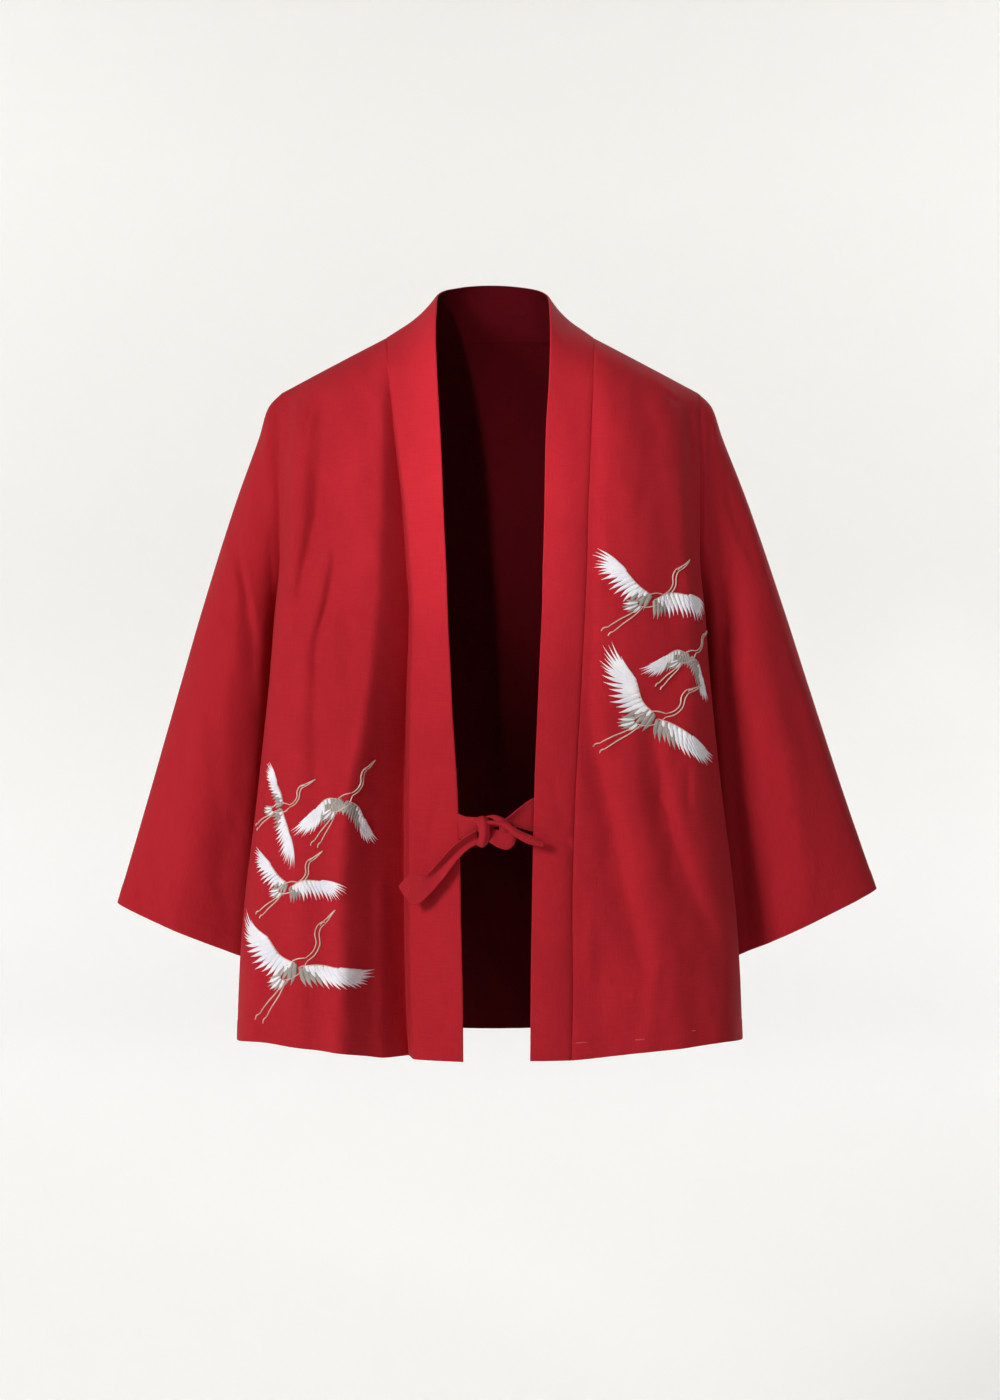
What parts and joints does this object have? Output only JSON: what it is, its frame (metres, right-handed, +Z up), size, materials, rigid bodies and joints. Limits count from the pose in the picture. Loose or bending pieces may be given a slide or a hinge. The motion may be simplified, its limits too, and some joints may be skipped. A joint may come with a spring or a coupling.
{
  "type": "kimono jacket",
  "caption": "Hip-length open-front jacket with wide sleeves, a folded band round the neck and down both fronts, and ties knotted at the waist, filled out as worn.",
  "frame": {"origin": "inside the shoulders on the centre line: over the shoulder seams front to back, 9 mm under the seam at the nape, where the wearer's shoulders carry the jacket", "axes": "+Z up, -Y out of the front opening, +X to the wearer's left"},
  "size_m": [0.7596, 0.288, 0.7681],
  "materials": {
    "red_cloth": "matt plain-woven cotton, crimson",
    "tie_cloth": "matt plain-woven cotton, crimson, folded double",
    "white_thread": "embroidery thread with a soft sheen, white",
    "grey_thread": "embroidery thread with a soft sheen, warm grey",
    "beige_thread": "embroidery thread with a soft sheen, beige"
  },
  "bodies": {
    "root": {"back": "red_cloth", "front_right": "red_cloth", "front_left": "red_cloth", "sleeve_right": "red_cloth", "sleeve_left": "red_cloth", "collar_band": "red_cloth", "tie_right_strap": "tie_cloth", "tie_left_strap": "tie_cloth", "tie_knot": "tie_cloth", "tie_right_tail": "tie_cloth", "tie_left_tail": "tie_cloth"}
  },
  "joints": []
}
